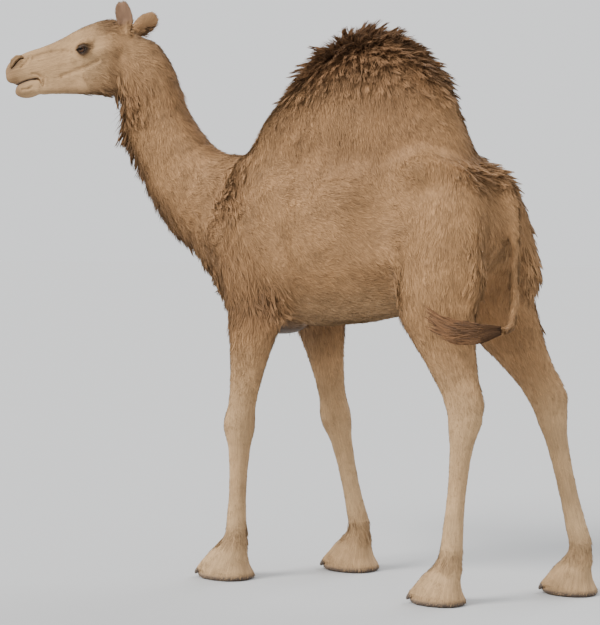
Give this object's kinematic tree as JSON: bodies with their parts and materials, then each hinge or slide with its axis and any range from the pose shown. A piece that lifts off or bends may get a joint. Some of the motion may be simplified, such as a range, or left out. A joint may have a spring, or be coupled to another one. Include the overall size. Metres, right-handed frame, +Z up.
{
  "type": "dromedary camel",
  "caption": "Life-size standing one-humped camel, a still animal model with a short coat and woolly hump, on four flat soles.",
  "frame": {"origin": "on the floor, under the middle of the whole animal's box", "axes": "+X towards the camel's head, +Y to its left, +Z up; the soles are at z = 0"},
  "size_m": [2.5542, 0.6853, 2.2994],
  "materials": {
    "coat": "short sandy hair",
    "pale_coat": "short pale hair of the lower legs",
    "wool": "long brown wool",
    "horn": "dull dark horn",
    "eye": "wet and glossy",
    "callus": "dry cracked skin"
  },
  "bodies": {
    "root": {"fore_left_forearm": "coat", "fore_left_cannon": "pale_coat", "fore_left_foot": "pale_coat", "fore_left_nail_inner": "horn", "fore_left_nail_outer": "horn", "fore_right_forearm": "coat", "fore_right_cannon": "pale_coat", "fore_right_foot": "pale_coat", "fore_right_nail_inner": "horn", "fore_right_nail_outer": "horn", "hind_left_thigh": "coat", "hind_left_cannon": "pale_coat", "hind_left_foot": "pale_coat", "hind_left_nail_inner": "horn", "hind_left_nail_outer": "horn", "hind_right_thigh": "coat", "hind_right_cannon": "pale_coat", "hind_right_foot": "pale_coat", "hind_right_nail_inner": "horn", "hind_right_nail_outer": "horn", "hump": "wool", "trunk": "coat", "chest_pad": "callus", "neck": "coat", "tail": "coat", "tail_tuft": "wool", "head": "coat", "eye_left": "eye", "eye_right": "eye", "ear_left": "coat", "ear_right": "coat"}
  },
  "joints": []
}
